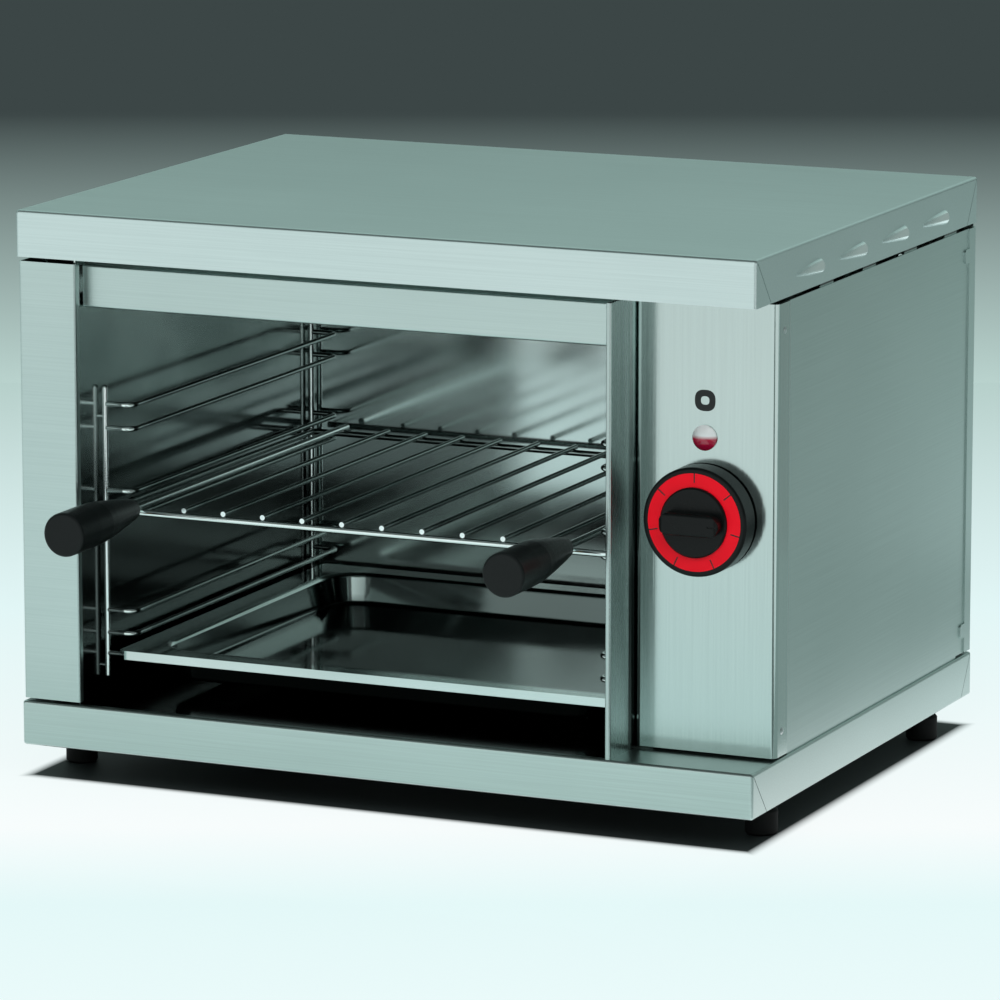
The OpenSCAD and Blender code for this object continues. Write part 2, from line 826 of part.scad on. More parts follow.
// Moulded-in metal sleeves at the rear of the handles.
module handle_inserts() {
  color(brass) casing() for (x = handle_xs)
    translate([x, -handle_reach + handle_l - insert_l, rod_z]) rotate([-90, 0, 0]) difference() {
      cylinder(h = insert_l, d = insert_d);
      translate([0, 0, -1]) cylinder(h = insert_l + 2, d = rod_d);
    }
}

// ---------------------------------------------------------------- drip tray

// Section of the tray's edge, from its corner centre outwards: rim, sloping wall and floor.
wall_lean = 4;
floor_r = 6;

module tray_section() {
  fold_profile([
    [bowl_r - wall_lean - floor_r - 3, -tray_depth], [bowl_r - wall_lean, -tray_depth],
    [bowl_r, -sheet / 2], [bowl_r + 6, -sheet / 2]
  ], 3.2);
}

module tray_side(l) {
  rotate([90, 0, 90]) linear_extrude(l) mirror([1, 0]) tray_section();
}

module drip_tray() {
  c = rim_w + bowl_r;
  floor_in = rim_w + wall_lean + floor_r + 3;
  hole_in = rim_w - 5;
  color(polished_steel) casing() translate([cavity_mid - tray_w / 2, tray_y0, tray_z]) {
    for (k = [
      [c, c, 180], [tray_w - c, c, 270], [tray_w - c, tray_l - c, 0], [c, tray_l - c, 90]
    ]) translate([k[0], k[1], 0]) rotate([0, 0, k[2]]) rotate_extrude(angle = 90) tray_section();
    translate([c, c, 0]) tray_side(tray_w - 2 * c);
    translate([tray_w - c, tray_l - c, 0]) rotate([0, 0, 180]) tray_side(tray_w - 2 * c);
    translate([tray_w - c, c, 0]) rotate([0, 0, 90]) tray_side(tray_l - 2 * c);
    translate([c, tray_l - c, 0]) rotate([0, 0, 270]) tray_side(tray_l - 2 * c);
    translate([floor_in - 1, floor_in - 1, -tray_depth - sheet / 2])
      cube([tray_w - 2 * floor_in + 2, tray_l - 2 * floor_in + 2, sheet]);
    translate([0, 0, -sheet]) linear_extrude(sheet) difference() {
      rounded_rect(tray_w, tray_l, rim_r);
      translate([hole_in, hole_in])
        rounded_rect(tray_w - 2 * hole_in, tray_l - 2 * hole_in, bowl_r + rim_w - hole_in);
    }
    translate([rim_r, 0, -tray_lip]) cube([tray_w - 2 * rim_r, sheet, tray_lip]);
  }
}

// ---------------------------------------------------------------- knob and regulator

skirt_gap = 2;
dial_in_r = knob_d / 2 - 13;
dial_out_r = knob_d / 2 - 3.7;
edge_r = 2;
dial_t = 1.2;
boss_h = 2.5;
bore_l = 12;

module at_knob() {
  casing() translate([knob_x, panel_y, knob_z]) rotate([90, 0, 0]) children();
}

// Knob, drawn from the panel outwards along +z: skirt, face, boss and grip bar.
module knob_body() {
  r = knob_d / 2;
  color(black) at_knob() difference() {
    union() {
      rotate_extrude() polygon(concat(
        [[0, skirt_gap + 4], [shaft_d / 2 + 4, skirt_gap + 4], [shaft_d / 2 + 4, knob_h - 4],
          [r - 2.5, knob_h - 4], [r - 2, skirt_gap], [r, skirt_gap]],
        arc_points(r - edge_r, knob_h - edge_r, edge_r, 0, 90),
        [[dial_out_r, knob_h], [dial_out_r, knob_h - dial_t], [dial_in_r, knob_h - dial_t],
          [dial_in_r, knob_h + boss_h - 1], [dial_in_r - 1, knob_h + boss_h], [0, knob_h + boss_h]]
      ));
      grip_bar();
    }
    translate([0, 0, skirt_gap]) shaft_shape(bore_l + 2, 0);
    translate([grip_l / 2 - 7, -0.6, knob_h + grip_h - 0.6]) cube([6, 1.2, 1]);
  }
}

// Grip bar with round ends, a crowned front and a slight taper.
module grip_bar() {
  top = knob_h + grip_h;
  intersection() {
    translate([0, 0, knob_h - 2]) linear_extrude(grip_h + 2) {
      square([grip_l - grip_w, grip_w], center = true);
      for (s = [-1, 1]) translate([s * (grip_l - grip_w) / 2, 0]) circle(d = grip_w);
    }
    translate([0, grip_w, 0]) rotate([90, 0, 0]) linear_extrude(2 * grip_w)
      translate([-grip_l / 2, knob_h - 10]) rounded_rect(grip_l, grip_h + 10, 3);
    translate([-grip_l, 0, 0]) rotate([90, 0, 90]) linear_extrude(2 * grip_l)
      translate([-grip_w / 2, knob_h - 10]) rounded_rect(grip_w, grip_h + 10, 2.5);
  }
}

// Round shaft with a flat along its front end.
flat_l = 14;

module shaft_shape(l, gap) {
  difference() {
    cylinder(h = l, d = shaft_d + 2 * gap);
    translate([shaft_d / 2 - 1, -shaft_d, l - flat_l]) cube([shaft_d, 2 * shaft_d, flat_l + 1]);
  }
}

// Red dial ring with one groove for each heat step.
module knob_dial() {
  color(dial_red) at_knob() translate([0, 0, knob_h - dial_t]) difference() {
    linear_extrude(dial_t) difference() {
      circle(r = dial_out_r);
      circle(r = dial_in_r);
    }
    for (i = [0:dial_steps - 1]) rotate([0, 0, 90 + 360 / dial_steps * i])
      translate([dial_in_r + 3, -0.45, dial_t - 0.4]) cube([dial_out_r, 0.9, 1]);
  }
}

regulator_w = 40;
regulator_t = 30;
bushing_l = 6;

module regulator_shaft() {
  color(wire_steel) at_knob() translate([0, 0, -sheet - 20])
    shaft_shape(sheet + 20 + skirt_gap + bore_l + 2, 0);
}

module regulator_body() {
  color(ceramic) at_knob() difference() {
    union() {
      translate([0, 0, -sheet - regulator_t]) linear_extrude(regulator_t)
        translate([-regulator_w / 2, -regulator_w / 2]) rounded_rect(regulator_w, regulator_w, 4);
      for (x = [-14, -5, 5, 14], y = [-12, 12])
        translate([x - 3.15, y - 0.4, -sheet - regulator_t - 9]) cube([6.3, 0.8, 9 + eps]);
    }
    translate([0, 0, -sheet - 20 - 0.5]) cylinder(h = 22, d = shaft_d + 0.1);
    for (s = [-1, 1]) translate([0, s * regulator_screw_gap / 2, -sheet - 9]) cylinder(h = 10, d = thread_d);
  }
}

module regulator_screws() {
  color(wire_steel) at_knob() for (s = [-1, 1])
    translate([0, s * regulator_screw_gap / 2, 0]) rotate_extrude() screw_outline(8, thread_d, 7, 1.8);
}

module at_lamp() {
  casing() translate([knob_x, panel_y, lamp_z]) rotate([90, 0, 0]) children();
}

// Domed lens with a collar that rests on the panel.
lens_h = 5;

module pilot_lamp_lens() {
  dome_r = (pow(lamp_d / 2, 2) + pow(lens_h - 1.2, 2)) / (2 * (lens_h - 1.2));
  color(dial_red) at_lamp() rotate_extrude() {
    square([lamp_d / 2, 1.2]);
    intersection() {
      translate([0, 1.2 - eps]) square([lamp_d / 2, lens_h]);
      translate([0, lens_h - dome_r]) circle(r = dome_r, $fn = 96);
    }
    translate([0, -14]) square([5, 14 + eps]);
  }
}

module pilot_lamp_holder() {
  color(black) at_lamp() {
    rotate_extrude() polygon([[5, -sheet], [8.5, -sheet], [8.5, -5], [6, -5], [6, -26], [0, -26], [0, -14],
      [5, -14]]);
    for (y = [-2.6, 2.6]) translate([-2.4, y - 0.4, -34]) cube([4.8, 0.8, 8 + eps]);
  }
}

// ---------------------------------------------------------------- connections

block_w = 46;
block_x = divider_x + 24;
block_y = back_y - 60;
pole_pitch = 14;

module terminal_block() {
  color(ceramic) casing() difference() {
    translate([block_x, block_y, base_flange]) cube([block_w, 22, 20]);
    for (i = [0:2]) {
      x = block_x + 9 + pole_pitch * i;
      rod_y(x, block_y - 1, block_y + 23, base_flange + 9, 5);
      for (y = [5, 17]) rod_z(x, block_y + y, base_flange + 9, base_flange + 21, 5);
    }
  }
}

module terminal_screws() {
  color(brass) casing() for (i = [0:2], y = [5, 17])
    rod_z(block_x + 9 + pole_pitch * i, block_y + y, base_flange + 9, base_flange + 18, 4.8);
}

gland_bore_d = 10;

module at_gland() {
  casing() translate([gland_x, back_y + sheet / 2, gland_z]) rotate([-90, 0, 0]) children();
}

// Gland body with its clamping cap; the bore is open for a supply cable.
module cable_gland() {
  cap_h = body_d + gland_reach - back_y - sheet / 2 - 7;
  color(black) at_gland() difference() {
    union() {
      cylinder(h = 7, r = 25 / sqrt(3), $fn = 6);
      translate([0, 0, 7 - eps]) rotate_extrude() polygon([[0, 0], [11.5, 0], [11.5, cap_h - 6],
        [8, cap_h], [0, cap_h]]);
      translate([0, 0, -10]) cylinder(h = 10 + eps, d = gland_hole_d - 0.4);
    }
    translate([0, 0, -11]) cylinder(h = 60, d = gland_bore_d);
  }
}

module gland_locknut() {
  color(black) at_gland() translate([0, 0, -sheet - 5]) hex_nut(25, 5, gland_hole_d - 0.4);
}

module at_stud() {
  casing() translate([stud_x, back_y, gland_z]) rotate([-90, 0, 0]) children();
}

stud_nut_z = sheet / 2 + 5;

// Threaded root through both nuts, and the free end that takes a ring terminal.
module earth_stud() {
  color(brass) at_stud() {
    translate([0, 0, -12]) cylinder(h = 12 + stud_nut_z, d = stud_root_d);
    translate([0, 0, stud_nut_z]) cylinder(h = 12.5, d = stud_d);
  }
}

module earth_nuts() {
  color(brass) at_stud() {
    for (z = [sheet / 2, -sheet / 2 - 5]) translate([0, 0, z]) hex_nut(10, 5, stud_root_d);
  }
}

// Each lead is a run of straight wires with round joints.
lead_d = 3;

module lead(pts) {
  for (i = [0:len(pts) - 2]) {
    run = pts[i + 1] - pts[i];
    translate(pts[i]) rotate([0, acos(run.z / norm(run)), atan2(run.y, run.x)])
      cylinder(h = norm(run), d = lead_d, $fn = 16);
  }
  for (p = pts) translate(p) sphere(d = lead_d + 0.5, $fn = 16);
}

module wiring_loom() {
  riser_x = body_w - 26;
  end_x = element_end_x + 18;
  block_top = base_flange + 12;
  color("#8a2b20") casing() for (i = [0:2]) {
    y = element_ys[i] + element_gap;
    lead([
      [end_x, element_ys[i], element_z], [end_x, y - 4, element_z - 8 - 5 * i],
      [riser_x - 5 * i, y, element_z - 20 - 5 * i], [riser_x - 5 * i, 110 + 8 * i, knob_z + 30],
      [knob_x + 14 - 9.5 * i, panel_y + 43, knob_z + 12]
    ]);
    lead([
      [block_x + 9 + pole_pitch * i, block_y - 2, base_flange + 9],
      [block_x + 9 + pole_pitch * i, block_y - 20 - 6 * i, block_top],
      [knob_x - 14 + 9.5 * i, panel_y + 60 + 6 * i, knob_z - 60],
      [knob_x - 14 + 9.5 * i, panel_y + 43, knob_z - 12]
    ]);
  }
}

// ---------------------------------------------------------------- feet and fasteners

module at_feet() {
  casing() for (x = foot_xs, y = foot_ys) translate([x, y, 0]) children();
}

module feet() {
  r = foot_d / 2;
  color(black) at_feet() rotate_extrude() polygon([
    [foot_bolt_d / 2, 0], [r - 1.5, 0], [r - 1.5, -4], [r, -6], [r, 1.5 - foot_h], [r - 1.5, -foot_h],
    [7, -foot_h], [7, 8 - foot_h], [foot_bolt_d / 2, 8 - foot_h]
  ]);
}

foot_screw_l = foot_h - 8 + sheet + 8;

module foot_screws() {
  color(wire_steel) at_feet() translate([0, 0, 8 - foot_h]) mirror([0, 0, 1])
    rotate_extrude() screw_outline(foot_screw_l, foot_bolt_d, 12, 3.5);
}

module foot_nuts() {
  color(wire_steel) at_feet() translate([0, 0, sheet]) hex_nut(10, 5, foot_bolt_d);
}

cover_screw_z = casing_h - cover_flange + 12;

module cover_screws() {
  color(wire_steel) casing() for (x = cover_screw_xs)
    translate([x, body_d, cover_screw_z]) rotate([-90, 0, 0]) pan_screw(6);
}

module back_panel_screws() {
  color(wire_steel) casing() for (x = back_screw_xs, z = back_screw_zs)
    translate([x, back_y + sheet / 2, z]) rotate([-90, 0, 0]) pan_screw(8);
}

module control_panel_screws() {
  color(wire_steel) casing() for (z = return_screw_zs)
    translate([return_x + sheet / 2, return_screw_y, z]) rotate([0, 90, 0])
      rotate_extrude() screw_outline(6, 3.2, 5.5, 0.9);
}

base_pan();
top_cover();
left_side_panel();
right_side_panel();
back_panel();
front_header();
control_panel();
divider_blade();
cavity_left_wall();
cavity_right_wall();
cavity_back_wall();
heat_reflector();
insulation_blanket();
front_element();
middle_element();
rear_element();
element_hangers();
element_flange_nuts();
element_terminals();
left_uprights();
left_runners();
left_pins();
right_uprights();
right_runners();
right_pins();
rack_frame();
rack_wires();
rack_rear_bar();
rack_handle_rods();
left_handle();
right_handle();
handle_inserts();
drip_tray();
knob_body();
knob_dial();
regulator_shaft();
regulator_body();
regulator_screws();
pilot_lamp_lens();
pilot_lamp_holder();
terminal_block();
terminal_screws();
cable_gland();
gland_locknut();
earth_stud();
earth_nuts();
wiring_loom();
feet();
foot_screws();
foot_nuts();
cover_screws();
back_panel_screws();
control_panel_screws();
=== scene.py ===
"""A countertop cheese melter in a plain studio: finishes, printed marks, lamp and camera."""

import json
import math

import bmesh
import bpy
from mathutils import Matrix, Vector


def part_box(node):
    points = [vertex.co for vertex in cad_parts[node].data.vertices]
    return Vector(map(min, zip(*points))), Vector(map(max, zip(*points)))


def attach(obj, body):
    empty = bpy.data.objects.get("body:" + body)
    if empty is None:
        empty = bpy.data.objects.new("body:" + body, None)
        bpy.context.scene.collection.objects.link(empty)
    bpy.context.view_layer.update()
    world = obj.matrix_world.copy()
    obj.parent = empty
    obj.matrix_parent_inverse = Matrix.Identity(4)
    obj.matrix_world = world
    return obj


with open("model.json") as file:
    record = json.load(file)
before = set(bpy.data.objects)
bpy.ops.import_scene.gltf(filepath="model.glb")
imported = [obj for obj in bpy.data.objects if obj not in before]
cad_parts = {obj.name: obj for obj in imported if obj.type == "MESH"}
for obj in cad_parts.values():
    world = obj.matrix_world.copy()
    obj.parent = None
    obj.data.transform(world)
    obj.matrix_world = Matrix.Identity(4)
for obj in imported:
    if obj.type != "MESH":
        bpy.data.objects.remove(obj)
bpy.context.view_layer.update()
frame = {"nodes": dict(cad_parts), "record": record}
MM = 0.001

# ------------------------------------------------------------------ places taken from the frame


def low_corner(node):
    return Vector(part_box(node)[0])


def high_corner(node):
    return Vector(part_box(node)[1])


base_low, base_high = low_corner("base_pan"), high_corner("base_pan")
deck_front_y = base_low.y + 5 * MM
cover_lower_edge = low_corner("top_cover").z
louvre_tip_x = high_corner("top_cover").x
panel_front_y = low_corner("control_panel").y
blade_left_x = low_corner("divider_blade").x
cavity_left_x = low_corner("cavity_left_wall").x
rack_front_y = low_corner("rack_frame").y
runner_front_y = low_corner("left_runners").y
tray_low = low_corner("drip_tray")
lens_centre = (low_corner("pilot_lamp_lens") + high_corner("pilot_lamp_lens")) / 2
dial_low, dial_high = low_corner("knob_dial"), high_corner("knob_dial")
dial_centre = (dial_low + dial_high) / 2
dial_radius = (dial_high.x - dial_low.x) / 2

# ------------------------------------------------------------------ shader kit


class Link:
    """A node's output, with arithmetic that adds Math nodes to the same shading."""

    def __init__(self, shading, socket):
        self.shading = shading
        self.socket = socket

    def math(self, operation, *values):
        settings = {"operation": operation}
        return self.shading.add("ShaderNodeMath", settings, dict(enumerate(values)))

    def __add__(self, other):
        return self.math("ADD", self, other)

    def __sub__(self, other):
        return self.math("SUBTRACT", self, other)

    def __rsub__(self, other):
        return self.math("SUBTRACT", other, self)

    def __mul__(self, other):
        return self.math("MULTIPLY", self, other)

    def __abs__(self):
        return self.math("ABSOLUTE", self)

    def most(self, other):
        return self.math("MAXIMUM", self, other)

    __radd__ = __add__
    __rmul__ = __mul__


class Shading:
    """The nodes of one material or of the world. All but the output node come from add()."""

    def __init__(self, owner, output_kind="ShaderNodeOutputMaterial"):
        owner.use_nodes = True
        self.tree = owner.node_tree
        self.tree.nodes.clear()
        self.output = self.tree.nodes.new(output_kind)

    def add(self, kind, settings=None, inputs=None, output=0):
        """Adds a node, sets its settings, then its sockets, and returns one of its outputs."""
        node = self.tree.nodes.new(kind)
        for name, value in (settings or {}).items():
            if name == "stops":
                set_stops(node.color_ramp, value)
            else:
                setattr(node, name, value)
        for name, value in (inputs or {}).items():
            self.feed(node.inputs[name], value)
        return Link(self, node.outputs[output])

    def feed(self, socket, value):
        """Links a node's output to the socket, or sets a constant on it."""
        if isinstance(value, Link):
            self.tree.links.new(value.socket, socket)
        else:
            socket.default_value = value

    def show(self, surface):
        self.feed(self.output.inputs["Surface"], surface)

    def place(self, stretch=(1, 1, 1)):
        """The point on the surface in metres, stretched along the axes."""
        point = self.add("ShaderNodeTexCoord", output="Object")
        return self.add("ShaderNodeMapping", inputs={"Vector": point, "Scale": stretch})

    def axis(self, name):
        """X, Y or Z of the point on the surface in metres, as a value."""
        point = self.add("ShaderNodeTexCoord", output="Object")
        return self.add("ShaderNodeSeparateXYZ", inputs={"Vector": point}, output=name)

    def noise(self, place, scale, detail=2.0, roughness=0.5):
        inputs = {"Vector": place, "Scale": scale, "Detail": detail, "Roughness": roughness}
        return self.add("ShaderNodeTexNoise", {"noise_dimensions": "3D"}, inputs)

    def between(self, low, high, share):
        """Mixes two colours by a share that varies over the surface."""
        inputs = {"Factor": share, "A": with_alpha(low), "B": with_alpha(high)}
        return self.add("ShaderNodeMix", {"data_type": "RGBA"}, inputs, output="Result")

    def span(self, value, low, high, to_low=0.0, to_high=1.0):
        """Takes the stretch from low to high to the one from to_low to to_high, and holds its ends."""
        inputs = {"Value": value, "From Min": low, "From Max": high}
        inputs.update({"To Min": to_low, "To Max": to_high})
        return self.add("ShaderNodeMapRange", {"clamp": True}, inputs)

    def bump(self, height, depth):
        inputs = {"Height": height, "Strength": 1.0, "Distance": depth}
        return self.add("ShaderNodeBump", inputs=inputs)

    def glow(self, colour):
        """A surface that is seen in its colour as written."""
        inputs = {"Color": with_alpha(colour), "Strength": 1.0}
        return self.add("ShaderNodeEmission", inputs=inputs)


class Finish(Shading):
    """A material with a Principled shader, whose constants are set on its own sockets."""

    def __init__(self, name):
        self.material = bpy.data.materials.new(name)
        super().__init__(self.material)
        self.lit = self.add("ShaderNodeBsdfPrincipled")
        self.show(self.lit)

    def set(self, **inputs):
        """Feeds the shader: base_color=... goes to the socket called Base Color."""
        for name, value in inputs.items():
            label = name.replace("_", " ").title().replace("Ior", "IOR")
            self.feed(self.lit.socket.node.inputs[label], value)


def with_alpha(colour):
    return colour if isinstance(colour, Link) else (*colour, 1)


def set_stops(ramp, stops):
    """Gives a colour ramp the stops (position, colour)."""
    while len(ramp.elements) > 1:
        ramp.elements.remove(ramp.elements[-1])
    for index, (position, colour) in enumerate(stops):
        element = ramp.elements[0] if index == 0 else ramp.elements.new(position)
        element.position = position
        element.color = (*colour, 1)


def srgb(red, green, blue):
    """A colour written as 0 to 255 display values, in the renderer's linear values."""
    return tuple(
        c / 12.92 if c <= 0.04045 else ((c + 0.055) / 1.055) ** 2.4
        for c in (red / 255, green / 255, blue / 255)
    )


# ------------------------------------------------------------------ where the steel changes, and where shade and highlights are painted on it

# How much the noise is squeezed along each axis: a grain runs along the axis left loose.
GRAIN_X = (8, 900, 900)
GRAIN_Y = (900, 8, 900)
GRAIN_Z = (900, 900, 8)
SMUDGES = (3, 3, 5)

# The width over which the deck's painted shade fades at its edges.
FADE = 1.5 * MM


def on_the_louvres(finish):
    """1 on the pressed louvres, which stand proud of the cover's side flanges, and 0 elsewhere; there
    the cover takes a painted highlight.
    """
    return finish.span(abs(finish.axis("X")), louvre_tip_x - 3 * MM, louvre_tip_x - 1 * MM)


def in_the_gap(finish):
    """1 on the tongues that stand in the gap under the cover's flange, 0 below it: there the sheet is
    painted dark as shade.
    """
    gap_floor = cover_lower_edge - 2.6 * MM
    return finish.span(finish.axis("Z"), gap_floor, gap_floor + 0.6 * MM)


def on_the_deck(finish):
    """1 on the deck inside the cavity, which is painted dark as shade, and 0 outside."""
    x = finish.axis("X")
    left = finish.span(x, cavity_left_x - FADE, cavity_left_x)
    right = finish.span(x, blade_left_x - FADE, blade_left_x, 1, 0)
    front = finish.span(finish.axis("Y"), deck_front_y, deck_front_y + FADE)
    top = finish.span(finish.axis("Z"), base_high.z - 14 * MM, base_high.z - 13 * MM)
    return left * right * front * top


def in_the_bowl(finish):
    """1 on the bottom of the drawn bowl, less on its left wall, and 0 on the tray's front edge: where
    it is 1 the bowl takes a painted shade.
    """
    behind_edge = finish.span(finish.axis("Y"), tray_low.y + 10 * MM, tray_low.y + 16 * MM)
    off_floor = finish.span(finish.axis("Z"), tray_low.z + 1 * MM, tray_low.z + 8 * MM)
    left_wall = finish.span(finish.axis("X"), tray_low.x + 30 * MM, tray_low.x + 50 * MM, 1, 0)
    return behind_edge * (1 - off_floor * left_wall * 0.75)


def low_on_the_wall(finish):
    """Nearly 1 at the foot of a cavity wall, 0 near the ceiling, with a smudged fade between: painted
    shade, darker towards the bottom.
    """
    smudge = finish.noise(finish.place(SMUDGES), scale=3.0, detail=3.0)
    ragged_height = finish.axis("Z") + (smudge - 0.5) * (80 * MM)
    return finish.span(ragged_height, 160 * MM, 340 * MM, 0.95, 0.0)


# ------------------------------------------------------------------ steel

# Linear colours: the darker and the lighter tone of a sheet's grain or smudges.
# The brushed sheets are one stainless steel; their tones are set per face as painted light and shade:
# the cover's lighter, the right side's darker.
FRONT_TONES = ((0.5, 0.6, 0.58), (0.56, 0.66, 0.64))
COVER_TONES_PAINTED_LIGHTER = ((0.6, 0.7, 0.69), (0.68, 0.78, 0.77))
SIDE_TONES_PAINTED_DARKER = ((0.48, 0.58, 0.56), (0.55, 0.65, 0.63))
PANEL_TONES = ((0.49, 0.585, 0.565), (0.53, 0.63, 0.61))
BLADE_TONES = ((0.43, 0.51, 0.5), (0.49, 0.58, 0.56))
BASE_TONES = ((0.53, 0.62, 0.6), (0.6, 0.7, 0.68))
CAVITY_TONES = ((0.5, 0.57, 0.56), (0.62, 0.71, 0.69))
WALL_TONES = ((0.6, 0.68, 0.67), (0.72, 0.81, 0.79))
TRAY_TONES = ((0.55, 0.63, 0.61), (0.66, 0.75, 0.73))
# The dark colour painted as shade: in the gap under the cover, on the cavity's deck and low on the
# cavity walls.
PAINTED_SHADE_STEEL = (0.045, 0.052, 0.05)
TRAY_PAINTED_SHADE = (0.12, 0.142, 0.138)
LOUVRE_PAINTED_HIGHLIGHT = (0.93, 0.98, 0.97)


def brushed_steel(name, tones, grain, roughness=0.34, mask=None, mask_colour=PAINTED_SHADE_STEEL):
    """Stainless sheet with a fine grain. Where the mask is 1, it is smoother and mask_colour."""
    finish = Finish(name)
    streaks = finish.noise(finish.place(grain), scale=1.0, detail=3.0, roughness=0.6)
    clouds = finish.noise(finish.place(), scale=7.0, detail=3.0)
    steel = finish.between(*tones, finish.span(streaks * 0.7 + clouds * 0.3, 0.35, 0.65))
    rough = finish.span(streaks, 0.3, 0.7, roughness - 0.03, roughness + 0.04)
    if mask:
        masked = mask(finish)
        steel = finish.between(steel, mask_colour, masked)
        rough = rough * (1 - masked * 0.7)
    relief = finish.bump(streaks, depth=0.02 * MM)
    finish.set(base_color=steel, metallic=1.0, roughness=rough, normal=relief)
    return finish.material


def polished_steel(name, tones, roughness, mask=None, mask_colour=PAINTED_SHADE_STEEL):
    """Cavity sheet: nearly a mirror, with soft smudges from heat and wiping."""
    finish = Finish(name)
    smudge = finish.noise(finish.place(SMUDGES), scale=2.2, detail=4.0, roughness=0.55)
    share = finish.span(smudge, 0.35, 0.68)
    steel = finish.between(*tones, share)
    if mask:
        steel = finish.between(steel, mask_colour, mask(finish))
    rough = finish.span(share, 0.0, 1.0, roughness, roughness + 0.1)
    finish.set(base_color=steel, metallic=1.0, roughness=rough)
    return finish.material


steel_front = brushed_steel("brushed_stainless_front", FRONT_TONES, GRAIN_X)
# The side panels are painted dark in the gap under the cover's flange: painted shade.
steel_left = brushed_steel("brushed_stainless_left", FRONT_TONES, GRAIN_X, mask=in_the_gap)
steel_side = brushed_steel("brushed_stainless_side", SIDE_TONES_PAINTED_DARKER, GRAIN_Y, mask=in_the_gap)
steel_panel = brushed_steel("brushed_stainless_panel", PANEL_TONES, GRAIN_Z, roughness=0.14)
steel_blade = brushed_steel("brushed_stainless_blade", BLADE_TONES, GRAIN_Z, roughness=0.26)
# The deck inside the cavity takes a painted shade.
steel_base = brushed_steel("brushed_stainless_base", BASE_TONES, GRAIN_X, mask=on_the_deck)
# The louvres are coloured near white: painted highlight.
steel_cover = brushed_steel(
    "brushed_stainless_cover",
    COVER_TONES_PAINTED_LIGHTER,
    GRAIN_X,
    mask=on_the_louvres,
    mask_colour=LOUVRE_PAINTED_HIGHLIGHT,
)
cavity_steel = polished_steel("polished_stainless_cavity", CAVITY_TONES, roughness=0.08)
# The cavity walls are painted darker towards the bottom: painted shade.
wall_steel = polished_steel(
    "painted_shade_stainless_walls", WALL_TONES, roughness=0.09, mask=low_on_the_wall
)
# The tray's bowl is painted dark, most on its bottom: painted shade.
tray_steel = polished_steel(
    "drawn_stainless_tray",
    TRAY_TONES,
    roughness=0.05,
    mask=in_the_bowl,
    mask_colour=TRAY_PAINTED_SHADE,
)

# ------------------------------------------------------------------ wire, plastics and the rest

BRIGHT_CHROME = (0.84, 0.9, 0.89)
CHROME_PAINTED_SHADE = (0.28, 0.32, 0.31)


def plain(name, colour, roughness, metallic=0.0, **more):
    """A finish that is the same all over."""
    finish = Finish(name)
    finish.set(base_color=(*colour, 1), roughness=roughness, metallic=metallic, **more)
    return finish.material


def chromed_wire(name, front_y):
    """Chromed wire, in chrome's own bright colour at its front ends and painted darker further in as
    painted shade.
    """
    finish = Finish(name)
    # Painted shade: the wire darkens going in from its front ends.
    inner = finish.span(finish.axis("Y"), front_y + 6 * MM, front_y + 30 * MM)
    chrome = finish.between(BRIGHT_CHROME, CHROME_PAINTED_SHADE, inner)
    finish.set(base_color=chrome, metallic=1.0, roughness=0.14)
    return finish.material


def grained_plastic(name, colour, roughness):
    """Moulded phenolic: a faint unevenness and a soft gloss."""
    finish = Finish(name)
    grain = finish.noise(finish.place(), scale=900.0)
    finish.set(
        base_color=(*colour, 1),
        roughness=finish.span(grain, 0.3, 0.7, roughness - 0.05, roughness + 0.08),
        specular_ior_level=0.2,
        normal=finish.bump(grain, depth=0.01 * MM),
    )
    return finish.material


def lens_glass():
    """Crimson glass whose upper part is painted pale as a painted highlight."""
    finish = Finish("lamp_red")
    # Painted highlight: the lens's upper part is coloured near white.
    upper = finish.span(finish.axis("Z"), lens_centre.z - 0.5 * MM, lens_centre.z + 2 * MM)
    glass = finish.between(srgb(168, 18, 56), srgb(222, 226, 226), upper)
    finish.set(base_color=glass, roughness=0.1, coat_weight=0.5, coat_roughness=0.05)
    return finish.material


print_ink = plain("black_print", srgb(14, 18, 18), roughness=0.5)
sooty_steel = plain("heat_stained_steel", (0.07, 0.075, 0.07), roughness=0.4, metallic=1.0)
rack_wire = chromed_wire("rack_wire", rack_front_y)
runner_wire = chromed_wire("runner_wire", runner_front_y)

FINISH_OF_SLOT = {
    "brushed_stainless": steel_front,
    "polished_stainless": cavity_steel,
    "bright_wire": plain("bright_wire", BRIGHT_CHROME, roughness=0.18, metallic=1.0),
    "element_sheath": plain("element_sheath", (0.05, 0.045, 0.04), roughness=0.55, metallic=0.6),
    "black_bakelite": grained_plastic("black_bakelite", srgb(16, 20, 20), roughness=0.36),
    "knob_black": grained_plastic("knob_black", srgb(8, 11, 11), roughness=0.32),
    "dial_red": plain("dial_red", srgb(252, 6, 34), roughness=0.35, specular_ior_level=0.15),
    "lamp_red": lens_glass(),
    "black_plastic": plain("black_plastic", srgb(26, 28, 29), roughness=0.5),
    "white_ceramic": plain("white_ceramic", srgb(226, 222, 210), roughness=0.5),
    "mineral_wool": plain("mineral_wool", srgb(196, 188, 166), roughness=0.95),
    "brass": plain("brass", (0.62, 0.43, 0.18), roughness=0.3, metallic=1.0),
    "zinc_steel": plain("zinc_steel", (0.6, 0.64, 0.64), roughness=0.3, metallic=1.0),
    "black_rubber": plain("black_rubber", srgb(7, 8, 8), roughness=0.75, specular_ior_level=0.2),
    "lead_insulation": plain("lead_insulation", srgb(140, 40, 28), roughness=0.5),
}
